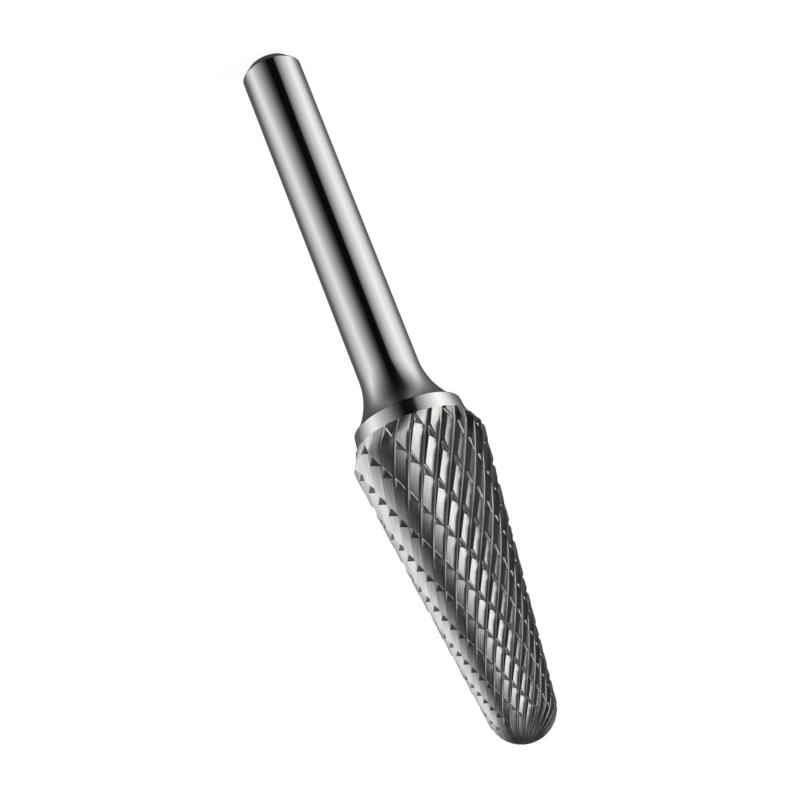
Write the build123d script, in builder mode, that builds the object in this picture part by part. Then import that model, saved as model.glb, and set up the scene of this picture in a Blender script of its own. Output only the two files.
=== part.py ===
from build123d import *
import math
import os

# Carbide burr, tree form with a ball nose, double cut, on a plain cylindrical shank.
# Stands on the flat end of its shank: origin at the centre of that end, +Z to the nose.
# All sizes in millimetres.

# shank
SHANK_D = 6.0            # standard straight shank
END_CHAMFER = 1.0        # chamfer round the flat driving end
STRAIGHT_L = 35.0        # flat end to the start of the flare
FLARE_R = 7.6            # radius of the concave flare under the collar
COLLAR_BACK_D = 10.0     # ground collar, shank side
COLLAR_FRONT_D = 11.0    # ground collar, where the head is brazed on
COLLAR_L = 1.7           # length of the collar
COLLAR_CROWN = 0.18      # how far the ground collar bulges from a plain cone

# cutting head
STEP = 0.05              # the head's rear face stands out past the collar
REAR_TOOTH = 0.16        # tooth height left at the rear face
HEAD_D = 13.0            # largest diameter, over the teeth
SHOULDER_DROP = 0.30     # how far the end of the rear bevel lies inside that, in radius
BEVEL_L = 1.1            # rear face to the shoulder
ROUND_L = 0.7            # shoulder to the largest diameter
TAPER = 7.05             # half angle of the cone, degrees
NOSE_R = 3.25            # ball nose
POLE_R = 0.35            # bare spot where the teeth meet

# teeth
FLUTES = 24              # right-hand flutes round the head
HELIX = 27.0             # flute angle to the axis, degrees
BREAKERS = 12            # left-hand chip breakers round the head
BREAKER_HELIX = 25.5     # chip breaker angle to the axis, degrees
BREAKER_START = 5.2      # first chip breaker, round from the first tooth at the rear, degrees
TOOTH_H = 0.104          # tooth height as a share of the local radius
EDGE = (0.0, 0.0)        # cutting edge: share of pitch behind it, share of height below it
HEEL = (0.46, 0.68)      # end of a chip breaker notch on the sloping back
ROOT = (0.73, 1.00)      # bottom of the gullet
FOOT = (0.86, 0.92)      # foot of the cutting face
NOTCH_LOW = (-0.10, 0.66)  # where a chip breaker's bottom crosses the cutting face
NOTCH_LONG = 0.23        # chip breaker's sloping wall at the edge, share of the breakers' gap
NOTCH_STEEP = 0.09       # chip breaker's steep wall at the edge, same share
CLEAR = 0.13             # least distance from a notch to a row of facets
TURN_STEP = 12.5         # flute turn per row of facets, degrees

# stations along the axis
Z_FLARE = STRAIGHT_L
FLARE_RISE = COLLAR_BACK_D / 2 - SHANK_D / 2
FLARE_RUN = math.sqrt(FLARE_R**2 - (FLARE_R - FLARE_RISE)**2)
Z_COLLAR = Z_FLARE + FLARE_RUN
Z_JOINT = Z_COLLAR + COLLAR_L
Z_SHOULDER = Z_JOINT + BEVEL_L
Z_LARGEST = Z_SHOULDER + ROUND_L
SLOPE = math.tan(math.radians(TAPER))
Z_BALL = Z_LARGEST + (HEAD_D / 2 - NOSE_R / math.cos(math.radians(TAPER))) / SLOPE
Z_TANGENT = Z_BALL + NOSE_R * math.sin(math.radians(TAPER))
R_TANGENT = NOSE_R * math.cos(math.radians(TAPER))
BALL_END = math.acos(POLE_R / NOSE_R)


def meridian(z):
    """Radius over the teeth and the unit normal (radial, axial) at a height."""
    if z < Z_SHOULDER:
        start = COLLAR_FRONT_D / 2 + STEP + REAR_TOOTH
        share = (z - Z_JOINT) / BEVEL_L
        return start + share * (HEAD_D / 2 - SHOULDER_DROP - start), 1.0, 0.0
    if z < Z_LARGEST:
        share = (z - Z_SHOULDER) / ROUND_L
        return HEAD_D / 2 - SHOULDER_DROP * (1.0 - share), 1.0, 0.0
    if z < Z_TANGENT:
        share = min(1.0, (z - Z_LARGEST) / (Z_TANGENT - Z_LARGEST))
        lean = share * math.radians(TAPER)
        return HEAD_D / 2 - (z - Z_LARGEST) * SLOPE, math.cos(lean), math.sin(lean)
    lift = min(1.0, (z - Z_BALL) / NOSE_R)
    radius = NOSE_R * math.sqrt(1.0 - lift * lift)
    return radius, radius / NOSE_R, lift


# running turn of the surface, the integral of path length over radius, in radians
TABLE = [(Z_JOINT, 0.0)]
Z_END = Z_BALL + NOSE_R * math.sin(BALL_END)
COUNT = 1500
for i in range(COUNT):
    z_here = TABLE[-1][0]
    z_next = Z_JOINT + (Z_END - Z_JOINT) * (i + 1) / COUNT
    r_here = meridian(z_here)[0]
    r_next = meridian(z_next)[0]
    path = math.hypot(z_next - z_here, r_next - r_here)
    TABLE.append((z_next, TABLE[-1][1] + path / ((r_here + r_next) / 2)))
TURN_END = TABLE[-1][1]


def turn_at(z):
    """Running turn at a height."""
    place = (z - Z_JOINT) / (Z_END - Z_JOINT) * COUNT
    i = max(0, min(COUNT - 1, int(place)))
    share = place - i
    return TABLE[i][1] + share * (TABLE[i + 1][1] - TABLE[i][1])


def height_at(turn):
    """Height at a running turn."""
    low, high = 0, COUNT
    while high - low > 1:
        mid = (low + high) // 2
        if TABLE[mid][1] > turn:
            high = mid
        else:
            low = mid
    share = (turn - TABLE[low][1]) / (TABLE[high][1] - TABLE[low][1])
    return TABLE[low][0] + share * (TABLE[high][0] - TABLE[low][0])


def tooth_height(z):
    """Full tooth height at a height on the head, fading out over the rear bevel."""
    radius = meridian(z)[0]
    full = TOOTH_H * radius
    if z < Z_LARGEST:
        share = (z - Z_JOINT) / (Z_LARGEST - Z_JOINT)
        full = REAR_TOOTH + share * (full - REAR_TOOTH)
    if z > Z_TANGENT:
        full *= max(0.0, 1.0 - ((z - Z_TANGENT) / (Z_END - Z_TANGENT))**3)
    return full


FLUTE_RATE = math.tan(math.radians(HELIX))
BREAKER_RATE = math.tan(math.radians(BREAKER_HELIX))
PITCH = 2 * math.pi / FLUTES


def spot(tooth, share, depth, z):
    """A point on the head: tooth number, share of pitch behind its edge, share of depth."""
    radius, n_r, n_z = meridian(z)
    sink = depth * tooth_height(z)
    angle = PITCH * (tooth - share) + FLUTE_RATE * turn_at(z)
    radius -= sink * n_r
    return (radius * math.cos(angle), radius * math.sin(angle), z - sink * n_z)


# rows of facets: equal turns up the cone, closer together on the ball
ROWS = [Z_JOINT, Z_JOINT + BEVEL_L / 2, Z_SHOULDER, Z_LARGEST]
steps = math.ceil(math.degrees(FLUTE_RATE * (turn_at(Z_TANGENT) - turn_at(Z_LARGEST))) / TURN_STEP)
for i in range(steps):
    share = (i + 1) / steps
    ROWS.append(height_at(turn_at(Z_LARGEST)
                          + share * (turn_at(Z_TANGENT) - turn_at(Z_LARGEST))))
BALL_START = math.asin((Z_TANGENT - Z_BALL) / NOSE_R)
for i in range(6):
    lift = BALL_START + (i + 1) / 6 * (BALL_END - BALL_START)
    ROWS.append(Z_BALL + NOSE_R * math.sin(lift))


def notches(tooth):
    """Chip breaker notches along one tooth, as heights: (near rim, bottom, far rim, end)."""
    gap = 2 * math.pi / BREAKERS
    rate = FLUTE_RATE + BREAKER_RATE
    found = []
    for k in range(-BREAKERS, 5 * BREAKERS):
        turn = (gap * k + math.radians(BREAKER_START) - PITCH * tooth) / rate
        if turn <= 0.12 or turn >= TURN_END - 0.5:
            continue
        near = height_at(turn - gap * NOTCH_STEEP / rate)
        bottom = height_at(turn + PITCH * NOTCH_LOW[0] / rate)
        far = height_at(turn + gap * NOTCH_LONG / rate)
        end = height_at(turn + PITCH * HEEL[0] / rate)
        if near < Z_JOINT + 0.3 or end > Z_TANGENT + 0.45 * NOSE_R:
            continue
        found.append((near, bottom, far, end))
    return sorted(found)


def strip(left, right):
    """Facets between two lines of (height, point), both running from the rear to the nose."""
    facets = []
    i = j = 0
    while i < len(left) - 1 or j < len(right) - 1:
        step_left = j == len(right) - 1
        if i < len(left) - 1 and j < len(right) - 1:
            step_left = left[i][0] + left[i + 1][0] <= right[j][0] + right[j + 1][0]
        if step_left:
            facets.append((left[i][1], right[j][1], left[i + 1][1]))
            i += 1
        else:
            facets.append((left[i][1], right[j][1], right[j + 1][1]))
            j += 1
    return facets


def line(tooth, place, heights):
    """A line of (height, point) along a tooth at a (share of pitch, share of depth) place."""
    return [(z, spot(tooth, place[0], place[1], z)) for z in heights]


def tooth_facets(tooth):
    """Every facet of one tooth: back, chip breaker notches, gullet and cutting face."""
    cuts = notches(tooth)
    edge_rows = [z for z in ROWS if all(z < a - CLEAR or z > c + CLEAR for a, b, c, d in cuts)]
    heel_rows = [z for z in ROWS if all(abs(z - d) > CLEAR for a, b, c, d in cuts)]
    edge = line(tooth, EDGE, edge_rows)
    heel = line(tooth, HEEL, heel_rows)
    facets = []
    edges_done = []
    edge_from = edge[:1]
    heel_from = heel[:1]
    for a, b, c, d in cuts:
        (near,) = line(tooth, EDGE, [a])
        (low,) = line(tooth, NOTCH_LOW, [b])
        (far,) = line(tooth, EDGE, [c])
        (end,) = line(tooth, HEEL, [d])
        backs = heel_from + [p for p in heel if heel_from[0][0] < p[0] < d] + [end]
        edges = edge_from + [p for p in edge if edge_from[0][0] < p[0] < a] + [near]
        facets += strip(backs, edges)
        facets.append((end[1], near[1], low[1]))
        facets.append((end[1], low[1], far[1]))
        edges_done += edges + [low]
        edge_from = [far]
        heel_from = [end]
    backs = heel_from + [p for p in heel if heel_from[0][0] < p[0]]
    edges = edge_from + [p for p in edge if edge_from[0][0] < p[0]]
    facets += strip(backs, edges)
    edges_done += edges
    all_heel = sorted(heel + line(tooth, HEEL, [d for a, b, c, d in cuts]))
    root = line(tooth, ROOT, ROWS)
    foot = line(tooth, FOOT, ROWS)
    facets += strip(root, all_heel)
    facets += strip(foot, root)
    facets += strip(edges_done, line(tooth + 1, FOOT, ROWS))
    return facets


def ring(z):
    """The closed outline of the head at its first or last row."""
    points = []
    for tooth in range(FLUTES):
        for place in (FOOT, ROOT, HEEL, EDGE):
            points.append(spot(tooth, place[0], place[1], z))
    return points


# the shank, one turned piece with its flare and ground collar
with BuildPart() as shank:
    with BuildSketch(Plane.XZ) as shank_half:
        with BuildLine() as shank_line:
            r_shank = SHANK_D / 2
            r_back = COLLAR_BACK_D / 2
            r_front = COLLAR_FRONT_D / 2
            flare_end = (r_back, Z_COLLAR)
            crown = ((r_back + r_front) / 2 + COLLAR_CROWN, (Z_COLLAR + Z_JOINT) / 2)
            Line((0, 0), (r_shank - END_CHAMFER, 0))
            Line((r_shank - END_CHAMFER, 0), (r_shank, END_CHAMFER))
            Line((r_shank, END_CHAMFER), (r_shank, Z_FLARE))
            RadiusArc((r_shank, Z_FLARE), flare_end, FLARE_R)
            ThreePointArc(flare_end, crown, (r_front, Z_JOINT))
            Line((r_front, Z_JOINT), (0, Z_JOINT))
            Line((0, Z_JOINT), (0, 0))
        make_face()
    revolve(axis=Axis.Z)

# the cutting head, every tooth laid out facet by facet and closed at both ends
facets = []
for tooth in range(FLUTES):
    facets += tooth_facets(tooth)
pole = (0, 0, Z_BALL + NOSE_R)
tip_ring = ring(Z_END)
for i in range(len(tip_ring)):
    facets.append((tip_ring[i - 1], tip_ring[i], pole))
faces = [Face(Wire.make_polygon([Vector(*p) for p in facet])) for facet in facets]
faces.append(Face(Wire.make_polygon([Vector(*p) for p in reversed(ring(Z_JOINT))])))
with BuildPart() as cutting_head:
    add(Solid(Shell(faces)))

shank.part.label = "shank"
cutting_head.part.label = "cutting_head"

os.makedirs("parts", exist_ok=True)
export_step(shank.part, "parts/shank.step")
export_step(cutting_head.part, "parts/cutting_head.step")
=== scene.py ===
import bmesh
import bpy
import math
from mathutils import Matrix, Vector


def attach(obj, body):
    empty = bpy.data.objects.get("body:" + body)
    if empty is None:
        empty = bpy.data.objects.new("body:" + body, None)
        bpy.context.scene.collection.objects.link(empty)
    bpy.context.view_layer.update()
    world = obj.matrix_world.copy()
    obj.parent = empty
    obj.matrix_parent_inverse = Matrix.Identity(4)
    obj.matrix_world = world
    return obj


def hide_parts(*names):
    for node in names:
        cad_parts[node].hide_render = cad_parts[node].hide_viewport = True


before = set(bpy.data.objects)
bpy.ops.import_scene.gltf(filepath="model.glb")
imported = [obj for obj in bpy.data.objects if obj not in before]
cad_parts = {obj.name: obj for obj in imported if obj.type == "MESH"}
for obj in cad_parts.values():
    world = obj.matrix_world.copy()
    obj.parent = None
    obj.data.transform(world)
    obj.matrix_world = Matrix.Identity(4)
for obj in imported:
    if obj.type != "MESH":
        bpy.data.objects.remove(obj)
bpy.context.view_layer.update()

# ---------------------------------------------------------------------------
# Shank: one turned piece of hardened steel with a chamfered driving end, a plain straight length,
# a concave flare and a collar. The straight length is ground and polished for the collet, the flare
# keeps its satin turning, and the collar's band is ground. The carbide head is brazed to its face.
MM = 0.001
SHANK_R = 3.0 * MM
CHAMFER = 1.0 * MM
# the chamfer's two edges are eased by small steps: (height, radius) in mm from each sharp corner
END_EASE = ((0.0, -0.06), (0.02, 0.0), (0.08, 0.07))
SIDE_EASE = ((-0.12, -0.13), (-0.04, -0.055), (0.03, -0.015), (0.13, 0.0))
STRAIGHT_END = 35.0 * MM
STRAIGHT_STEPS = 4
FLARE_R = 7.6 * MM
FLARE_STEPS = 28
COLLAR_BACK_R = 5.0 * MM
COLLAR_FRONT_R = 5.5 * MM
COLLAR_L = 1.7 * MM
RIM_R = 5.32 * MM
RIM_ROUND = 0.22 * MM
RIM_LEANS = (85, 7)
RIM_STEPS = 7
BAND_START = 0.1 * MM
AROUND = 192
ON_AXIS = 1e-9

FLARE_L = math.sqrt(FLARE_R**2 - (FLARE_R - COLLAR_BACK_R + SHANK_R)**2)
COLLAR_Z = STRAIGHT_END + FLARE_L
JOINT_Z = COLLAR_Z + COLLAR_L


def linear(hex_code):
    """A colour written as an sRGB hex code, turned to the linear values a shader takes."""
    channels = [int(hex_code[i:i + 2], 16) / 255 for i in (1, 3, 5)]
    return [c / 12.92 if c <= 0.04045 else ((c + 0.055) / 1.055) ** 2.4 for c in channels] + [1.0]


def node(tree, kind, settings=None, **links):
    """Adds a shader node, sets its fields and its inputs: a socket links, anything else is a value."""
    made = tree.nodes.new(kind)
    for field, value in (settings or {}).items():
        setattr(made, field, value)
    for name, value in links.items():
        socket = made.inputs[int(name[1:])] if name[0] == "i" and name[1:].isdigit() else \
            made.inputs[name.replace("_", " ")]
        if isinstance(value, bpy.types.NodeSocket):
            tree.links.new(value, socket)
        else:
            socket.default_value = value
    return made


def finish_of(name):
    """A new material with its Principled shader: (material, tree, shader)."""
    material = bpy.data.materials.new(name)
    material.use_nodes = True
    tree = material.node_tree
    return material, tree, tree.nodes["Principled BSDF"]


def turned(name, profile, segments):
    """A lathe-turned mesh from (height, radius) points, closed on the axis at both ends."""
    shape = bmesh.new()
    rings = []
    for z, r in profile:
        if r < ON_AXIS:
            rings.append([shape.verts.new((0, 0, z))])
            continue
        around = [2 * math.pi * i / segments for i in range(segments)]
        rings.append([shape.verts.new((r * math.cos(a), r * math.sin(a), z)) for a in around])
    for low, high in zip(rings, rings[1:]):
        for i in range(segments):
            j = (i + 1) % segments
            corners = [low[i % len(low)], low[j % len(low)], high[j % len(high)], high[i % len(high)]]
            shape.faces.new(list(dict.fromkeys(corners)))
    mesh = bpy.data.meshes.new(name)
    shape.to_mesh(mesh)
    shape.free()
    return mesh


def edged(mesh, angle):
    """Smooth shading, broken at every edge sharper than an angle in degrees."""
    shape = bmesh.new()
    shape.from_mesh(mesh)
    bmesh.ops.recalc_face_normals(shape, faces=shape.faces)
    for face in shape.faces:
        face.smooth = True
    for edge in shape.edges:
        sharp = len(edge.link_faces) != 2 or edge.calc_face_angle() > math.radians(angle)
        edge.smooth = not sharp
    shape.to_mesh(mesh)
    shape.free()


shank_profile = [(0.0, 0.0)]
shank_profile += [(up * MM, SHANK_R - CHAMFER + out * MM) for up, out in END_EASE]
shank_profile += [(CHAMFER + up * MM, SHANK_R + out * MM) for up, out in SIDE_EASE]
for i in range(1, STRAIGHT_STEPS + 1):
    shank_profile.append((STRAIGHT_END * i / STRAIGHT_STEPS, SHANK_R))
for i in range(1, FLARE_STEPS + 1):
    run = FLARE_L * i / FLARE_STEPS
    shank_profile.append((STRAIGHT_END + run, SHANK_R + FLARE_R - math.sqrt(FLARE_R**2 - run**2)))
# the collar's back rim turns over in a tight arc from nearly facing the shank to nearly facing out
for i in range(RIM_STEPS + 1):
    lean = math.radians(RIM_LEANS[0] + (RIM_LEANS[1] - RIM_LEANS[0]) * i / RIM_STEPS)
    shank_profile.append((COLLAR_Z + RIM_ROUND * (1 - math.sin(lean)),
                          RIM_R - RIM_ROUND * (1 - math.cos(lean))))
shank_profile += [(JOINT_Z, COLLAR_FRONT_R), (JOINT_Z, 0.0)]
shank_mesh = turned("shank_turned", shank_profile, AROUND)
edged(shank_mesh, angle=12)
shank = bpy.data.objects.new("shank_turned", shank_mesh)
bpy.context.collection.objects.link(shank)

# the real tool marks are under 0.05 mm apart, too fine to show, so they are drawn nine to the mm
RING_PITCH = MM / 9
MARK_HEIGHT = 0.02 * MM


def rings_scale(length):
    """Mapping scale that draws out a noise into rings round the axis, a length in metres long."""
    return 1 / length, 1 / length, 1 / RING_PITCH


# Polished hardened steel: ground round and buffed, so it mirrors its surroundings almost sharply.
# Long grinding lines round it, up to 17 mm, and a cloudiness of about 1.4 mm only just soften it.
polished_steel, tree, shader = finish_of("polished_hardened_steel")
shader.inputs["Metallic"].default_value = 1.0
shader.inputs["Base Color"].default_value = linear("#E2E2E2")
place = node(tree, "ShaderNodeTexCoord").outputs["Object"]
drawn = node(tree, "ShaderNodeMapping", Vector=place, Scale=rings_scale(MM * 50 / 3)).outputs["Vector"]
grinding = node(tree, "ShaderNodeTexNoise", Vector=drawn, Scale=1.0, Detail=2.0).outputs["Fac"]
cloud = node(tree, "ShaderNodeTexNoise", Vector=place, Scale=0.7 / MM, Detail=4.0).outputs["Fac"]
haze = node(tree, "ShaderNodeMapRange", Value=cloud, To_Min=0.07, To_Max=0.12).outputs["Result"]
tree.links.new(haze, shader.inputs["Roughness"])
bump = node(tree, "ShaderNodeBump", Height=grinding, Strength=0.04, Distance=MARK_HEIGHT)
tree.links.new(bump.outputs["Normal"], shader.inputs["Normal"])

# Turned steel: the flare, polished where it leaves the straight length and satin from the lathe
# towards the collar. Towards the collar its colour is also painted a shade darker, as painted shade
# in the crease where it meets the collar's rim. Its turning lines run up to 8 mm round it and its
# cloudiness is about 1.1 mm.
turned_steel, tree, shader = finish_of("turned_satin_steel")
shader.inputs["Metallic"].default_value = 1.0
place = node(tree, "ShaderNodeTexCoord").outputs["Object"]
drawn = node(tree, "ShaderNodeMapping", Vector=place, Scale=rings_scale(MM * 25 / 3)).outputs["Vector"]
turning = node(tree, "ShaderNodeTexNoise", Vector=drawn, Scale=1.0, Detail=3.0).outputs["Fac"]
cloud = node(tree, "ShaderNodeTexNoise", Vector=place, Scale=0.9 / MM, Detail=4.0).outputs["Fac"]
up = node(tree, "ShaderNodeSeparateXYZ", Vector=place).outputs["Z"]
satin = node(tree, "ShaderNodeMapRange", {"interpolation_type": "SMOOTHSTEP"}, Value=up,
             From_Min=STRAIGHT_END, From_Max=COLLAR_Z, To_Min=0.07, To_Max=0.30).outputs["Result"]
haze = node(tree, "ShaderNodeMath", {"operation": "MULTIPLY_ADD"}, i0=cloud, i1=0.05,
            i2=satin).outputs[0]
tree.links.new(haze, shader.inputs["Roughness"])
# painted shade: the flare's colour darkens towards the crease at the collar's rim
collar_painted_shade = node(tree, "ShaderNodeMapRange", {"interpolation_type": "SMOOTHSTEP"}, Value=up,
              From_Min=STRAIGHT_END + 1.2 * MM, From_Max=COLLAR_Z - 0.4 * MM).outputs["Result"]
tone = node(tree, "ShaderNodeMix", {"data_type": "RGBA"}, Factor=collar_painted_shade, i6=linear("#E2E2E2"),
            i7=linear("#ACACAC")).outputs[2]
tree.links.new(tone, shader.inputs["Base Color"])
bump = node(tree, "ShaderNodeBump", Height=turning, Strength=0.08, Distance=MARK_HEIGHT)
tree.links.new(bump.outputs["Normal"], shader.inputs["Normal"])

# Ground steel: the collar's band, trued on a grinder after brazing, so it is the brightest steel
# of all, and its short grinding lines, up to 3 mm, blur what it mirrors.
ground_steel, tree, shader = finish_of("ground_collar_steel")
shader.inputs["Metallic"].default_value = 1.0
shader.inputs["Base Color"].default_value = linear("#F0F0F0")
place = node(tree, "ShaderNodeTexCoord").outputs["Object"]
drawn = node(tree, "ShaderNodeMapping", Vector=place, Scale=rings_scale(MM * 10 / 3)).outputs["Vector"]
grinding = node(tree, "ShaderNodeTexNoise", Vector=drawn, Scale=1.0, Detail=3.0).outputs["Fac"]
haze = node(tree, "ShaderNodeMapRange", Value=grinding, To_Min=0.10, To_Max=0.2).outputs["Result"]
tree.links.new(haze, shader.inputs["Roughness"])
bump = node(tree, "ShaderNodeBump", Height=grinding, Strength=0.12, Distance=MARK_HEIGHT)
tree.links.new(bump.outputs["Normal"], shader.inputs["Normal"])

POLISHED, TURNED, GROUND_BAND = 0, 1, 2
for material in (polished_steel, turned_steel, ground_steel):
    shank_mesh.materials.append(material)
for facet in shank_mesh.polygons:
    if facet.center.z < STRAIGHT_END:
        facet.material_index = POLISHED
    elif facet.center.z < COLLAR_Z + BAND_START:
        facet.material_index = TURNED
    else:
        facet.material_index = GROUND_BAND
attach(shank, "root")
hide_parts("shank")

# ---------------------------------------------------------------------------
# Cutting head: sintered tungsten carbide, brazed to the collar and then fluted on a grinder.
# 24 right-hand flutes leave teeth with a steep cutting face and a long sloping back, and 12
# left-hand chip breakers notch every tooth. All of them run together at the ball nose.
# The gullets stand a ledge proud of the collar at the joint, and the teeth are lowest there.
LEDGE = 0.05 * MM
REAR_TOOTH = 0.16 * MM
HEAD_R = 6.5 * MM
SHOULDER_DROP = 0.30 * MM
BEVEL_L = 1.1 * MM
ROUND_L = 0.7 * MM
TAPER = math.radians(7.05)
NOSE_R = 3.25 * MM
POLE_R = 0.35 * MM
FLUTES = 24
BREAKERS = 12
FLUTE_RATE = math.tan(math.radians(27.0))
BREAKER_RATE = math.tan(math.radians(25.5))
BREAKER_START = math.radians(5.2)
PITCH = 2 * math.pi / FLUTES
GAP = 2 * math.pi / BREAKERS

# A tooth's section. Places are shares of the pitch behind the tooth's line, and depths are shares of
# its height, which is itself a share of the radius. LAND holds the places of the sloping back from
# the cutting edge on, and GULLET the round bottom up to the foot of the next tooth's cutting face.
TOOTH_H = 0.104
NOSE_FADE = 9
LAND = (0.045, 0.10, 0.24, 0.40, 0.55, 0.61)
BACK_SLOPE = 1.50
BACK_HOLLOW = 0.12
GULLET = ((0.655, 0.89), (0.685, 0.94), (0.715, 0.97), (0.745, 0.99), (0.785, 1.0), (0.815, 0.985),
          (0.84, 0.955), (0.862, 0.90))

# A chip breaker's notch: a steep wall, a corner facet and a long wall that runs out on the back.
# Their widths and the notch's lean are shares of the gap between breakers. OPEN and LOW are where the
# corner and the bottom leave through the cutting face, and the two depths run from edge to heel.
# Every notch keeps a little way off the joint and off the pole, in running turns and in length.
NOTCH_STEEP = 0.03
NOTCH_CORNER = 0.07
NOTCH_LONG = 0.23
NOTCH_LEAN = 0.10
NOTCH_OPEN = (-0.086, 0.64)
NOTCH_LOW = (-0.10, 0.71)
CORNER_DEPTH = (0.50, 0.765)
LOW_DEPTH = (0.70, 0.86)
JOINT_TURNS = 0.05
POLE_TURNS = 0.5
JOINT_CLEAR = 0.06 * MM
NOSE_REACH = 0.45 * NOSE_R

# how finely the head is drawn
ROW_L = 0.25 * MM
LEAST_ROWS = 3
REAR_ROWS = 8
NOSE_ROWS = 24
TURN_STEPS = 3000
WELD = 0.0002 * MM

SHOULDER_Z = JOINT_Z + BEVEL_L
LARGEST_Z = SHOULDER_Z + ROUND_L
BALL_Z = LARGEST_Z + (HEAD_R - NOSE_R / math.cos(TAPER)) / math.tan(TAPER)
TANGENT_Z = BALL_Z + NOSE_R * math.sin(TAPER)
POLE_TILT = math.acos(POLE_R / NOSE_R)
END_Z = BALL_Z + NOSE_R * math.sin(POLE_TILT)


def meridian(z):
    """Radius over the teeth and the direction the teeth stand in (radial, axial) at a height."""
    shoulder = HEAD_R - SHOULDER_DROP
    if z < SHOULDER_Z:
        start = COLLAR_FRONT_R + LEDGE + REAR_TOOTH
        return start + (z - JOINT_Z) / BEVEL_L * (shoulder - start), 1.0, 0.0
    if z < LARGEST_Z:
        share = (z - SHOULDER_Z) / ROUND_L
        return shoulder + SHOULDER_DROP * math.sin(share * math.pi / 2), 1.0, 0.0
    if z < TANGENT_Z:
        lean = TAPER * min(1.0, (z - LARGEST_Z) / (TANGENT_Z - LARGEST_Z))
        return HEAD_R - (z - LARGEST_Z) * math.tan(TAPER), math.cos(lean), math.sin(lean)
    lift = min(1.0, (z - BALL_Z) / NOSE_R)
    radius = NOSE_R * math.sqrt(1.0 - lift * lift)
    return radius, radius / NOSE_R, lift


# The running turn: path length over radius, added up from the joint. A groove that keeps one angle
# to the axis turns by this times the angle's tangent, so it closes up evenly towards the nose.
TURNS = [0.0]
for i in range(TURN_STEPS):
    z0 = JOINT_Z + (END_Z - JOINT_Z) * i / TURN_STEPS
    z1 = JOINT_Z + (END_Z - JOINT_Z) * (i + 1) / TURN_STEPS
    r0, r1 = meridian(z0)[0], meridian(z1)[0]
    TURNS.append(TURNS[-1] + math.hypot(z1 - z0, r1 - r0) * 2 / (r0 + r1))


def turn_at(z):
    """The running turn at a height."""
    place = (z - JOINT_Z) / (END_Z - JOINT_Z) * TURN_STEPS
    i = max(0, min(TURN_STEPS - 1, int(place)))
    return TURNS[i] + (place - i) * (TURNS[i + 1] - TURNS[i])


def height_at(turn):
    """The height at a running turn."""
    low, high = 0, TURN_STEPS
    while high - low > 1:
        mid = (low + high) // 2
        low, high = (low, mid) if TURNS[mid] > turn else (mid, high)
    share = (turn - TURNS[low]) / (TURNS[high] - TURNS[low])
    return JOINT_Z + (END_Z - JOINT_Z) * (low + share) / TURN_STEPS


def tooth_height(z):
    """Tooth height at a height on the head, running out over the rear bevel and at the pole."""
    full = TOOTH_H * meridian(z)[0]
    if z < LARGEST_Z:
        full = REAR_TOOTH + (z - JOINT_Z) / (LARGEST_Z - JOINT_Z) * (full - REAR_TOOTH)
    if z > TANGENT_Z:
        full *= max(0.0, 1.0 - ((z - TANGENT_Z) / (END_Z - TANGENT_Z)) ** NOSE_FADE)
    return full


def back_depth(share):
    """Depth of a tooth's back, which the flute wheel leaves a trace hollow."""
    return (share - LAND[0]) * (BACK_SLOPE - BACK_HOLLOW * share)


# The head is written down as points and faces with each face's finish, and with a map that the
# finishes are drawn on: across, the share of pitch; along, the tooth's number plus a tenth of the
# running turn.
GROUND, NOTCH_WALL, NOTCH_RIM, RAKE = 0, 1, 2, 3
MAP_TURNS = 10
head_points = []
head_map = []
head_faces = []
head_kinds = []


def face(kind, *corners):
    """Adds a face of the head, dropping corners that repeat."""
    head_faces.append(tuple(dict.fromkeys(corners)))
    head_kinds.append(kind)


def spot(tooth, share, depth, z):
    """Adds a point of the head at a share of pitch behind a tooth's line, and returns its number."""
    radius, out, up = meridian(z)
    sink = depth * tooth_height(z)
    angle = PITCH * (tooth - share) + FLUTE_RATE * turn_at(z)
    radius -= sink * out
    head_points.append((radius * math.cos(angle), radius * math.sin(angle), z - sink * up))
    head_map.append((share, tooth + turn_at(z) / MAP_TURNS))
    return len(head_points) - 1


def beside(turn, share, across):
    """Running turn a share of pitch behind a tooth's line and a share of gap across a breaker."""
    across += NOTCH_LEAN * share
    return turn + (PITCH * share + GAP * across) / (FLUTE_RATE + BREAKER_RATE)


def notches(tooth):
    """Running turns at which chip breakers cross a tooth's line, clear of the joint and the pole."""
    found = []
    for k in range(-BREAKERS, 5 * BREAKERS):
        turn = (GAP * k + BREAKER_START - PITCH * tooth) / (FLUTE_RATE + BREAKER_RATE)
        if JOINT_TURNS < turn < TURNS[-1] - POLE_TURNS:
            near = height_at(beside(turn, 0, -NOTCH_STEEP - NOTCH_CORNER))
            end = height_at(beside(turn, LAND[-1], 0))
            if near > JOINT_Z + JOINT_CLEAR and end < TANGENT_Z + NOSE_REACH:
                found.append(turn)
    return found


def strip(kind, left, right):
    """Faces between two lines of (height, point number), both running towards the nose."""
    i = j = 0
    while i < len(left) - 1 or j < len(right) - 1:
        step_left = j == len(right) - 1
        if i < len(left) - 1 and j < len(right) - 1:
            step_left = left[i][0] + left[i + 1][0] <= right[j][0] + right[j + 1][0]
        if step_left:
            face(kind, left[i][1], right[j][1], left[i + 1][1])
            i += 1
        else:
            face(kind, left[i][1], right[j][1], right[j + 1][1])
            j += 1


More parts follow.
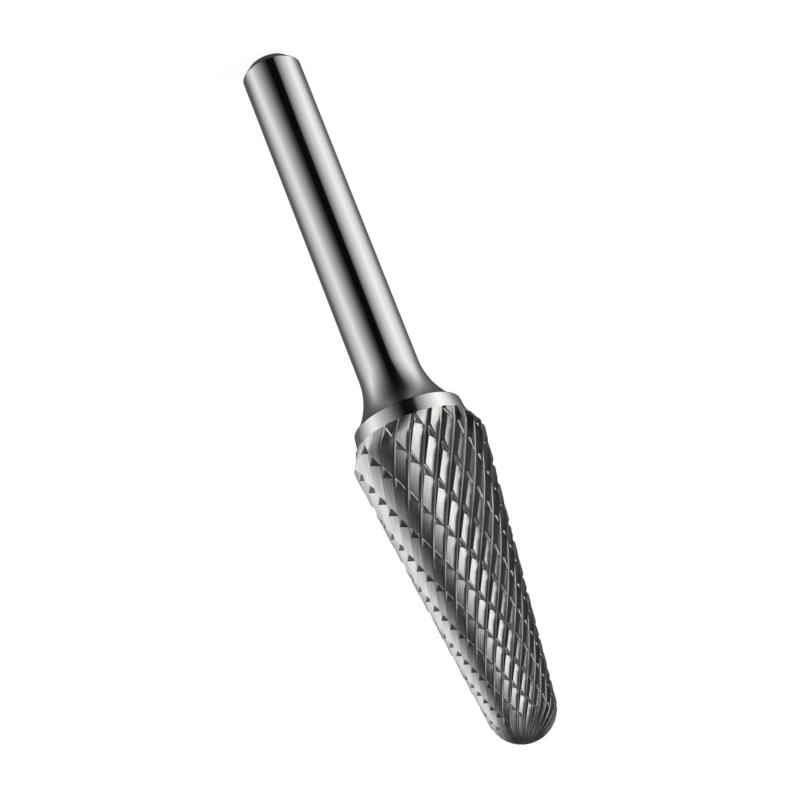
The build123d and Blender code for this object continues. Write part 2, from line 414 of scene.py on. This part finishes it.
def grind_back(tooth, start, end, first_line):
    """A stretch of a tooth's back between two lists of running turns, one for each place of LAND."""
    length = (height_at(end[0]) - height_at(start[0]) + height_at(end[-1]) - height_at(start[-1])) / 2
    steps = max(LEAST_ROWS, math.ceil(length / ROW_L))
    lines = [first_line] if first_line else []
    for i in range(len(lines), steps + 1):
        line = []
        for share, low, high in zip(LAND, start, end):
            z = height_at(low + (high - low) * i / steps)
            line.append((z, spot(tooth, share, back_depth(share), z)))
        lines.append(line)
    for lower, upper in zip(lines, lines[1:]):
        for right, left, up_right, up_left in zip(lower, lower[1:], upper, upper[1:]):
            face(GROUND, left[1], right[1], up_right[1], up_left[1])
    return lines


def cut_notch(tooth, cut, near_line):
    """A notch beyond a line of the back: its points on the edge, and where the back starts again."""
    heel = len(LAND) - 1
    near = [point for z, point in near_line]
    shares = [(share, share / LAND[heel - 1]) for share in LAND[:heel]]
    corner = [NOTCH_OPEN] + [(share, CORNER_DEPTH[0] + run * (CORNER_DEPTH[1] - CORNER_DEPTH[0]))
                             for share, run in shares[:-1]]
    corner = [spot(tooth, share, depth, height_at(beside(cut, share, -NOTCH_CORNER)))
              for share, depth in corner] + [near[heel - 1]]
    low = [NOTCH_LOW] + [(share, LOW_DEPTH[0] + run * (LOW_DEPTH[1] - LOW_DEPTH[0]))
                         for share, run in shares]
    low = [(height_at(beside(cut, share, 0)), share, depth) for share, depth in low]
    opening = [(low[0][0], corner[0])]
    low = [spot(tooth, share, depth, z) for z, share, depth in low] + [near[heel]]
    start = [beside(cut, share, NOTCH_LONG * (1 - share / LAND[heel])) for share in LAND]
    far_line = []
    for share, turn in zip(LAND[:heel], start):
        z = height_at(turn)
        far_line.append((z, spot(tooth, share, back_depth(share), z)))
    far_line.append(near_line[heel])
    far = [point for z, point in far_line]
    face(NOTCH_WALL, near[0], corner[1], corner[0])
    face(NOTCH_RIM, corner[1], low[1], low[0], corner[0])
    face(NOTCH_RIM, low[0], low[1], far[0])
    for i in range(heel):
        if i < heel - 1:
            face(NOTCH_WALL, near[i + 1], corner[i + 2], corner[i + 1], near[i])
            face(NOTCH_RIM, corner[i + 2], low[i + 2], low[i + 1], corner[i + 1])
        face(NOTCH_WALL, low[i + 2], far[i + 1], far[i], low[i + 1])
    face(NOTCH_RIM, near[heel], low[heel], near[heel - 1])
    opening.append((height_at(beside(cut, 0, 0)), low[0]))
    return opening, start, far_line


# the heights at which the gullets and the feet of the cutting faces are drawn
rows = [JOINT_Z + (LARGEST_Z - JOINT_Z) * i / REAR_ROWS for i in range(REAR_ROWS + 1)]
cone_rows = math.ceil((TANGENT_Z - LARGEST_Z) / ROW_L)
rows += [LARGEST_Z + (TANGENT_Z - LARGEST_Z) * (i + 1) / cone_rows for i in range(cone_rows)]
for i in range(NOSE_ROWS):
    tilt = TAPER + (POLE_TILT - TAPER) * (i + 1) / NOSE_ROWS
    rows.append(BALL_Z + NOSE_R * math.sin(tilt))

# Each tooth: stretches of back with a notch after each, then the gullet, then the next cutting face.
teeth = []
for tooth in range(FLUTES):
    edge = []
    heel = []
    start = [0.0] * len(LAND)
    first_line = None
    for cut in notches(tooth) + [None]:
        end = [TURNS[-1]] * len(LAND)
        if cut:
            end = [beside(cut, share, -NOTCH_CORNER - NOTCH_STEEP * (1 - share / LAND[-2]))
                   for share in LAND[:-1]] + [beside(cut, LAND[-1], 0)]
        lines = grind_back(tooth, start, end, first_line)
        edge += [line[0] for line in lines]
        heel += [line[-1] for line in (lines[1:] if first_line else lines)]
        if cut:
            opening, start, first_line = cut_notch(tooth, cut, lines[-1])
            edge += opening
    columns = [[(z, spot(tooth, share, depth, z)) for z in rows] for share, depth in GULLET]
    strip(GROUND, columns[0], heel)
    for right, left in zip(columns, columns[1:]):
        for i in range(len(rows) - 1):
            face(GROUND, left[i][1], right[i][1], right[i + 1][1], left[i + 1][1])
    foot = [(z, spot(tooth + 1, GULLET[-1][0], GULLET[-1][1], z)) for z in rows]
    strip(RAKE, edge, foot)
    teeth.append((tooth, edge, heel, columns))

# The rear face on the collar and the pole close the head: each a fan over all the tooth sections.
for end, z, tip_z in ((0, JOINT_Z, JOINT_Z), (-1, END_Z, BALL_Z + NOSE_R)):
    head_points.append((0, 0, tip_z))
    head_map.append((0, 0))
    centre = len(head_points) - 1
    for tooth, edge, heel, columns in teeth:
        section = [column[end][1] for column in reversed(columns)] + [heel[end][1]]
        section += [spot(tooth, share, back_depth(share), z) for share in reversed(LAND[1:-1])]
        section += [edge[end][1], spot(tooth + 1, GULLET[-1][0], GULLET[-1][1], z)]
        for a, b in zip(section, section[1:]):
            face(GROUND, *((a, b, centre) if end else (b, a, centre)))

head_mesh = bpy.data.meshes.new("cutting_head_fluted")
head_mesh.from_pydata(head_points, [], head_faces)
head_mesh.polygons.foreach_set("material_index", head_kinds)
tooth_map = head_mesh.uv_layers.new(name="across_and_along")
for loop in head_mesh.loops:
    tooth_map.data[loop.index].uv = head_map[loop.vertex_index]
shape = bmesh.new()
shape.from_mesh(head_mesh)
bmesh.ops.remove_doubles(shape, verts=shape.verts, dist=WELD)
shape.to_mesh(head_mesh)
shape.free()
edged(head_mesh, angle=24)
cutting_head = bpy.data.objects.new("cutting_head_fluted", head_mesh)
bpy.context.collection.objects.link(cutting_head)

STREAK_HEIGHT = 0.04 * MM


def grain_scale(width, length):
    """Mapping scale for marks of a size across and along the teeth, true at the largest radius."""
    return PITCH * HEAD_R / width, MAP_TURNS * HEAD_R / length, 1.0


def bare_carbide(name, colour, glance_colour, roughness):
    """Carbide without drawn marks: its colour, the one seen at a glancing angle, and roughness."""
    material, _, shader = finish_of(name)
    shader.inputs["Metallic"].default_value = 1.0
    shader.inputs["Base Color"].default_value = linear(colour)
    shader.inputs["Specular Tint"].default_value = linear(glance_colour)
    shader.inputs["Roughness"].default_value = roughness
    return material


# Ground tungsten carbide: a hard, slightly warm grey sinter. The backs are ground last and shine,
# with fine streaks along the flute. The real ones are about 0.05 mm apart, too fine to show, and are
# drawn at 0.11 mm. Smears 0.24 mm wide dim the backs unevenly, and the gullets are painted a darker
# grey as shade in the hollow, up to a border that wanders in patches of 0.57 mm.
ground_carbide, tree, shader = finish_of("ground_tungsten_carbide")
shader.inputs["Metallic"].default_value = 1.0
place = node(tree, "ShaderNodeUVMap", {"uv_map": "across_and_along"}).outputs["UV"]
drawn = node(tree, "ShaderNodeMapping", Vector=place,
             Scale=grain_scale(0.11345 * MM, 2.9545 * MM)).outputs["Vector"]
streak = node(tree, "ShaderNodeTexNoise", Vector=drawn, Scale=1.0, Detail=1.5).outputs["Fac"]
drawn = node(tree, "ShaderNodeMapping", Vector=place,
             Scale=grain_scale(0.5672 * MM, 2.6 * MM)).outputs["Vector"]
patch = node(tree, "ShaderNodeTexNoise", Vector=drawn, Scale=1.0, Detail=2.0).outputs["Fac"]
drawn = node(tree, "ShaderNodeMapping", Vector=place,
             Scale=grain_scale(0.2431 * MM, 1.44444 * MM)).outputs["Vector"]
smear = node(tree, "ShaderNodeTexNoise", Vector=drawn, Scale=1.0, Detail=3.0).outputs["Fac"]
share = node(tree, "ShaderNodeSeparateXYZ", Vector=place).outputs["X"]
wander = node(tree, "ShaderNodeMapRange", Value=patch, To_Min=-0.08, To_Max=0.08).outputs["Result"]
share = node(tree, "ShaderNodeMath", {"operation": "ADD"}, i0=share, i1=wander).outputs[0]
# painted shade: this mask darkens the gullets' colour, and also gives them their own roughness
gullet_with_painted_shade = node(tree, "ShaderNodeMapRange", {"interpolation_type": "SMOOTHSTEP"}, Value=share,
                 From_Min=0.55, From_Max=0.80).outputs["Result"]
dimmed = node(tree, "ShaderNodeMapRange", Value=smear, From_Min=0.32, From_Max=0.68).outputs["Result"]
back_tone = node(tree, "ShaderNodeMix", {"data_type": "RGBA"}, Factor=dimmed, i6=linear("#FFFFFC"),
                 i7=linear("#E8E7E4")).outputs[2]
tone = node(tree, "ShaderNodeMix", {"data_type": "RGBA"}, Factor=gullet_with_painted_shade, i6=back_tone,
            i7=linear("#D6D5D2")).outputs[2]
tree.links.new(tone, shader.inputs["Base Color"])
tree.links.new(tone, shader.inputs["Specular Tint"])
back_haze = node(tree, "ShaderNodeMapRange", Value=streak, To_Min=0.22, To_Max=0.40).outputs["Result"]
haze = node(tree, "ShaderNodeMix", Factor=gullet_with_painted_shade, A=back_haze, B=0.31).outputs["Result"]
tree.links.new(haze, shader.inputs["Roughness"])
bump = node(tree, "ShaderNodeBump", Height=streak, Strength=0.28, Distance=STREAK_HEIGHT)
tree.links.new(bump.outputs["Normal"], shader.inputs["Normal"])

# Breaker-ground carbide: the notch walls, cut across the teeth by a thin coarse wheel, so they stay
# dull. Their colour is painted dark as shade in the notch, so they show as dark triangles on the
# bright backs.
notch_wall_carbide = bare_carbide("carbide_notch_wall_painted_shade", "#8C8B89", "#8C8B89", 0.55)

# Burnished carbide: the notch's corner, rubbed bright by the wheel's edge, so it catches light
# from every side as a thin pale line.
notch_rim_carbide = bare_carbide("burnished_carbide_notch_rim", "#F6F5F2", "#FFFFFF", 0.52)

# Rake-ground carbide: the teeth's steep cutting faces, seen only across the gullet, with their colour
# painted dark as the gullet's shade.
rake_carbide = bare_carbide("carbide_rake_face_painted_shade", "#747371", "#747371", 0.42)

for material in (ground_carbide, notch_wall_carbide, notch_rim_carbide, rake_carbide):
    head_mesh.materials.append(material)
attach(cutting_head, "root")
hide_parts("cutting_head")

# ---------------------------------------------------------------------------
# Floor: a plain white sweep the burr stands on. What looks at it sees almost plain white, and the
# rest is matt paper that keeps a faint shadow.
FLOOR_HALF = 6.0
FLOOR_WHITE = 0.93


def looked_at(tree):
    """A socket that is 1 for what the camera, a mirror or glass shows, and 0 for light passed on."""
    rays = node(tree, "ShaderNodeLightPath").outputs
    shown = node(tree, "ShaderNodeMath", {"operation": "MAXIMUM"}, i0=rays["Is Camera Ray"],
                 i1=rays["Is Glossy Ray"]).outputs[0]
    return node(tree, "ShaderNodeMath", {"operation": "MAXIMUM"}, i0=shown,
                i1=rays["Is Transmission Ray"]).outputs[0]


floor_mesh = bpy.data.meshes.new("floor")
floor_mesh.from_pydata([(-FLOOR_HALF, -FLOOR_HALF, 0), (FLOOR_HALF, -FLOOR_HALF, 0),
                        (FLOOR_HALF, FLOOR_HALF, 0), (-FLOOR_HALF, FLOOR_HALF, 0)], [], [(0, 1, 2, 3)])
floor = bpy.data.objects.new("floor", floor_mesh)
bpy.context.collection.objects.link(floor)
white_sweep, tree, _ = finish_of("white_sweep")
tree.nodes.clear()
white = node(tree, "ShaderNodeMath", {"operation": "MULTIPLY"}, i0=looked_at(tree),
             i1=FLOOR_WHITE).outputs[0]
paper = node(tree, "ShaderNodeBsdfDiffuse", Color=linear("#F4F4F4")).outputs[0]
glow = node(tree, "ShaderNodeEmission", Color=linear("#FFFFFF"), Strength=1.0).outputs[0]
mixed = node(tree, "ShaderNodeMixShader", i0=white, i1=paper, i2=glow).outputs[0]
node(tree, "ShaderNodeOutputMaterial", Surface=mixed)
floor_mesh.materials.append(white_sweep)

# Light tent: the white cloth ball round the burr that its polished steel mirrors, lit on both
# sides, with the dark gap it is viewed through in front, a dull back and a dark crown. Only
# reflections see it, and they don't see the floor, which would hide its lower half.
CAMERA_SIDE = math.radians(-79.9)
TENT_R = 1.5
TENT_Z = 0.04
TENT_STEP = 5
TENT_GLOW = 1.25
# the cloth's shade by degrees round from the side it is viewed from
ROUND_SHADES = (
    (-180, "#3A3A3A"), (-150, "#585858"), (-130, "#5C5C5C"), (-100, "#B0B0B0"), (-66, "#E6E6E6"),
    (-40, "#A8A8A8"), (-15, "#4C4C4C"), (-2, "#0A0A0A"), (21, "#0A0A0A"), (25, "#686868"),
    (46, "#C0C0C0"), (74, "#F4F4F4"), (105, "#D2D2D2"), (130, "#7C7C7C"), (150, "#585858"),
    (180, "#3A3A3A"))
# and what that is dimmed by, from the foot at 0 to the crown at 1
LEVEL_SHADES = ((0.0, "#F0F0F0"), (0.2, "#FFFFFF"), (0.70, "#FFFFFF"), (0.86, "#BCBCBC"),
                (0.96, "#6A6A6A"), (1.0, "#2A2A2A"))
# the gap spreads sideways under the burr, as shares of the tent's radius: by how much at the foot,
# the level it starts at, and the way from the back over which it comes in
GAP_SPREAD = 0.72
GAP_LEVEL = -0.4
GAP_COMES_IN = (-0.45, 0.10)

tent_profile = [(TENT_R * math.sin(math.radians(a)), TENT_R * abs(math.cos(math.radians(a))))
                for a in range(-90, 91, TENT_STEP)]
tent_mesh = turned("light_tent", tent_profile, segments=96)
tent = bpy.data.objects.new("light_tent", tent_mesh)
tent.location.z = TENT_Z
bpy.context.collection.objects.link(tent)
for kind in ("visible_camera", "visible_diffuse", "visible_transmission", "visible_shadow"):
    setattr(tent, kind, False)
floor.visible_glossy = False
tent_cloth, tree, _ = finish_of("lit_tent_cloth")
tree.nodes.clear()
place = node(tree, "ShaderNodeTexCoord").outputs["Object"]
faced = node(tree, "ShaderNodeMapping", Vector=place,
             Rotation=(0, 0, math.pi / 2 - CAMERA_SIDE)).outputs["Vector"]
sides = node(tree, "ShaderNodeSeparateXYZ", Vector=faced).outputs
spread = node(tree, "ShaderNodeMapRange", Value=sides["Z"], From_Min=-TENT_R,
              From_Max=GAP_LEVEL * TENT_R, To_Min=GAP_SPREAD * TENT_R, To_Max=0.0).outputs["Result"]
comes_in = node(tree, "ShaderNodeMapRange", {"interpolation_type": "SMOOTHSTEP"}, Value=sides["Y"],
                From_Min=GAP_COMES_IN[0] * TENT_R,
                From_Max=GAP_COMES_IN[1] * TENT_R).outputs["Result"]
front = node(tree, "ShaderNodeMath", {"operation": "MULTIPLY_ADD"}, i0=spread, i1=comes_in,
             i2=sides["Y"]).outputs[0]
bearing = node(tree, "ShaderNodeMath", {"operation": "ARCTAN2"}, i0=sides["X"], i1=front).outputs[0]
bearing = node(tree, "ShaderNodeMapRange", Value=bearing, From_Min=-math.pi,
               From_Max=math.pi).outputs["Result"]
level = node(tree, "ShaderNodeMapRange", Value=sides["Z"], From_Min=-TENT_R,
             From_Max=TENT_R).outputs["Result"]
by_bearing = node(tree, "ShaderNodeValToRGB", Fac=bearing)
by_level = node(tree, "ShaderNodeValToRGB", Fac=level)
round_shades = [((degrees + 180) / 360, shade) for degrees, shade in ROUND_SHADES]
for ramp, shades in ((by_bearing, round_shades), (by_level, LEVEL_SHADES)):
    stops = ramp.color_ramp.elements
    while len(stops) < len(shades):
        stops.new(0.5)
    for stop, (position, shade) in zip(stops, shades):
        stop.position = position
        stop.color = linear(shade)
lit = node(tree, "ShaderNodeMix", {"data_type": "RGBA", "blend_type": "MULTIPLY"}, Factor=1.0,
           i6=by_bearing.outputs["Color"], i7=by_level.outputs["Color"]).outputs[2]
glow = node(tree, "ShaderNodeEmission", Color=lit, Strength=TENT_GLOW).outputs[0]
node(tree, "ShaderNodeOutputMaterial", Surface=glow)
tent_mesh.materials.append(tent_cloth)

# Lamps: two large soft boxes high on either side. They light the floor; the tent lights the metal.
LAMP_POWER = 9.0
LAMP_SIZE = 0.8
for stand in ((0.5, -0.5, 0.9), (-0.7, 0.2, 0.9)):
    lamp_data = bpy.data.lights.new("soft_box", "AREA")
    lamp_data.energy = LAMP_POWER
    lamp_data.size = LAMP_SIZE
    lamp = bpy.data.objects.new("soft_box", lamp_data)
    lamp.location = stand
    lamp.rotation_euler = (-Vector(stand)).to_track_quat("-Z", "Y").to_euler()
    lamp.visible_glossy = False
    bpy.context.collection.objects.link(lamp)

# World: the white room. It shows as plain white and sends the floor a softer light than that.
ROOM_LIGHT = 0.6
world = bpy.data.worlds.new("studio")
bpy.context.scene.world = world
world.use_nodes = True
tree = world.node_tree
tree.nodes.clear()
strength = node(tree, "ShaderNodeMapRange", Value=looked_at(tree), To_Min=ROOM_LIGHT,
                To_Max=1.0).outputs["Result"]
room = node(tree, "ShaderNodeBackground", Color=linear("#FFFFFF"), Strength=strength).outputs[0]
node(tree, "ShaderNodeOutputWorld", Surface=room)
bpy.context.scene.view_settings.view_transform = "Standard"

# Camera: looks down on the burr from 20 degrees above the side, rolled over so that the nose points
# down and a little to the right.
CAMERA_LIFT = math.radians(20.03)
CAMERA_ROLL = math.radians(21.44)
CAMERA_AIM = Vector((0, 0, 0.03819))
CAMERA_AWAY = 0.2216
back = Vector((math.cos(CAMERA_SIDE) * math.cos(CAMERA_LIFT),
               math.sin(CAMERA_SIDE) * math.cos(CAMERA_LIFT), math.sin(CAMERA_LIFT)))
along = (Vector((0, 0, 1)) - back * back.z).normalized()
across = along.cross(back)
right = math.sin(CAMERA_ROLL) * along - math.cos(CAMERA_ROLL) * across
up = -math.cos(CAMERA_ROLL) * along - math.sin(CAMERA_ROLL) * across
camera_data = bpy.data.cameras.new("camera")
camera_data.sensor_width = 36.0
camera_data.lens = 106.0
camera_data.clip_start = 0.01
camera = bpy.data.objects.new("camera", camera_data)
camera.matrix_world = Matrix.Translation(CAMERA_AIM + back * CAMERA_AWAY) @ \
    Matrix((right, up, back)).transposed().to_4x4()
bpy.context.collection.objects.link(camera)
bpy.context.scene.camera = camera
